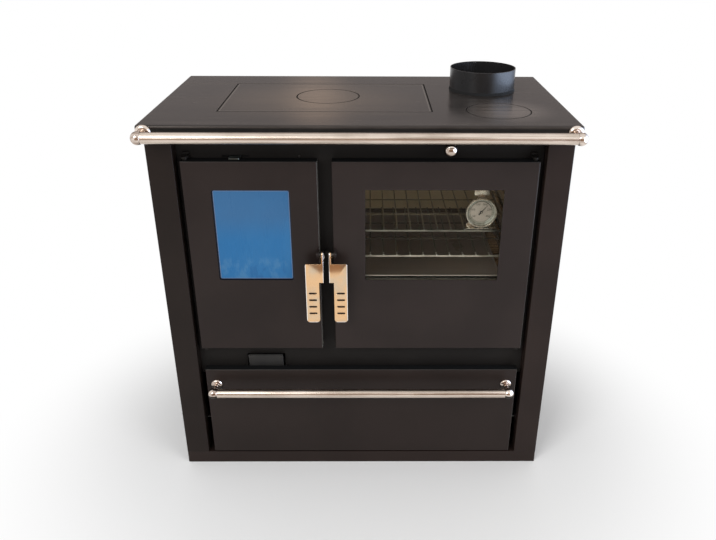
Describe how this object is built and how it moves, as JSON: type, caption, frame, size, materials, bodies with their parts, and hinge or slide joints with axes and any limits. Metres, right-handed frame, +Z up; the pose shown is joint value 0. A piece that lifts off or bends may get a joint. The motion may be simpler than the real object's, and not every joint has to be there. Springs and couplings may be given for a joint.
{
  "type": "wood cookstove",
  "caption": "Free-standing wood-burning cookstove: hob with lids and flue spigot, firebox and oven doors with windows, lever handles, wood drawer and chrome rails.",
  "frame": {"origin": "on the floor, at the middle of the plinth's footprint", "axes": "+X to the right and +Y to the back as one faces the stove, +Z up"},
  "size_m": [0.86, 0.5229, 0.885],
  "materials": {
    "hob_iron": "ground flat, seasoned to a dark semi-gloss",
    "body_paint": "fine satin heat-proof paint, brown-black",
    "frame_paint": "matt heat-proof paint, near black",
    "grate_iron": "rough cast, matt black",
    "chrome_plate": "polished chrome plate",
    "nickel_steel": "satin nickel plate, softly brushed",
    "zinc_sheet": "plain galvanised sheet",
    "dark_sheet": "matt black heat-proof paint",
    "steel_screw": "zinc plated",
    "oven_enamel": "olive-brown vitreous enamel",
    "clear_glass": "clear ceramic glass",
    "filmed_glass": "ceramic glass under a blue protective film",
    "lens_glass": "clear flat glass",
    "firebrick": "dry pressed fireclay",
    "rope": "braided glass-fibre rope",
    "tape": "flat glass-fibre tape",
    "dial_face": "printed white enamel",
    "needle_paint": "black lacquer"
  },
  "bodies": {
    "stove": {"plinth": "body_paint", "side_panel_left": "body_paint", "side_panel_right": "body_paint", "base_plate": "zinc_sheet", "back_panel": "dark_sheet", "back_panel_screws": "steel_screw", "front_frame": "frame_paint", "hob_plate": "hob_iron", "flue_spigot": "body_paint", "oven_box": "oven_enamel", "rack_runners": "chrome_plate", "lower_rack": "chrome_plate", "upper_rack": "chrome_plate", "thermometer_case": "nickel_steel", "thermometer_dial": "dial_face", "thermometer_lens": "lens_glass", "firebox_casing": "dark_sheet", "firebricks_side": "firebrick", "firebrick_rear": "firebrick", "grate_frame": "grate_iron", "grate": "grate_iron", "ash_pan": "zinc_sheet", "log_guard": "grate_iron", "flue_chamber": "dark_sheet", "flap_pin": "steel_screw", "latch_keeper": "steel_screw", "hinge_brackets": "frame_paint", "drawer_runners": "zinc_sheet", "top_rail": "chrome_plate", "top_rail_brackets": "chrome_plate"},
    "firebox_door": {"firebox_door_panel": "body_paint", "firebox_door_gasket": "tape", "firebox_door_glass": "filmed_glass", "firebox_door_liner": "zinc_sheet", "firebox_door_studs": "steel_screw", "firebox_door_seal": "rope", "firebox_door_pivot": "nickel_steel"},
    "oven_door": {"oven_door_panel": "body_paint", "oven_door_gasket": "tape", "oven_door_glass": "clear_glass", "oven_door_liner": "zinc_sheet", "oven_door_studs": "steel_screw", "oven_door_seal": "rope", "oven_door_pivot": "nickel_steel"},
    "firebox_handle": {"firebox_door_handle": "nickel_steel"},
    "oven_handle": {"oven_door_handle": "nickel_steel"},
    "drawer": {"drawer_front": "body_paint", "drawer_box": "dark_sheet", "drawer_slides": "zinc_sheet", "drawer_rail": "chrome_plate", "drawer_rail_brackets": "chrome_plate"},
    "damper": {"damper_knob": "chrome_plate", "damper_rod": "chrome_plate", "damper_plate": "dark_sheet"},
    "air_slider": {"air_slider": "zinc_sheet"},
    "air_flap": {"air_flap": "grate_iron"},
    "hob_insert": {"hob_insert": "hob_iron"},
    "hob_lid": {"hob_lid": "hob_iron"},
    "cleaning_cover": {"cleaning_cover": "hob_iron"},
    "needle": {"thermometer_needle": "needle_paint"}
  },
  "joints": [
    {"name": "firebox_door_hinge", "type": "hinge", "parent": "stove", "child": "firebox_door", "pos_m": [-0.348, -0.213, 0.542], "axis": [0, 0, -1], "range_deg": [0, 105]},
    {"name": "oven_door_hinge", "type": "hinge", "parent": "stove", "child": "oven_door", "pos_m": [0.348, -0.213, 0.542], "axis": [0, 0, 1], "range_deg": [0, 105]},
    {"name": "firebox_lever", "type": "hinge", "parent": "firebox_door", "child": "firebox_handle", "pos_m": [-0.0795, -0.238, 0.563], "axis": [-1, 0, 0], "range_deg": [-8, 32]},
    {"name": "oven_lever", "type": "hinge", "parent": "oven_door", "child": "oven_handle", "pos_m": [-0.0635, -0.238, 0.563], "axis": [-1, 0, 0], "range_deg": [-8, 32]},
    {"name": "drawer_slide", "type": "slide", "parent": "stove", "child": "drawer", "axis": [0, -1, 0], "range_m": [0, 0.3]},
    {"name": "damper_pull", "type": "slide", "parent": "stove", "child": "damper", "axis": [0, -1, 0], "range_m": [0, 0.06]},
    {"name": "air_slide", "type": "slide", "parent": "stove", "child": "air_slider", "axis": [1, 0, 0], "range_m": [-0.015, 0.015]},
    {"name": "air_flap_hinge", "type": "hinge", "parent": "stove", "child": "air_flap", "pos_m": [-0.218, -0.2, 0.261], "axis": [1, 0, 0], "range_deg": [-12, 30]},
    {"name": "insert_lift", "type": "slide", "parent": "stove", "child": "hob_insert", "axis": [0, 0, 1], "range_m": [0, 0.06]},
    {"name": "lid_lift", "type": "slide", "parent": "hob_insert", "child": "hob_lid", "axis": [0, 0, 1], "range_m": [0, 0.06]},
    {"name": "cover_lift", "type": "slide", "parent": "stove", "child": "cleaning_cover", "axis": [0, 0, 1], "range_m": [0, 0.06]},
    {"name": "needle_turn", "type": "hinge", "parent": "stove", "child": "needle", "pos_m": [0.256, -0.163, 0.628], "axis": [0, 1, 0], "range_deg": [-165, 85]}
  ]
}
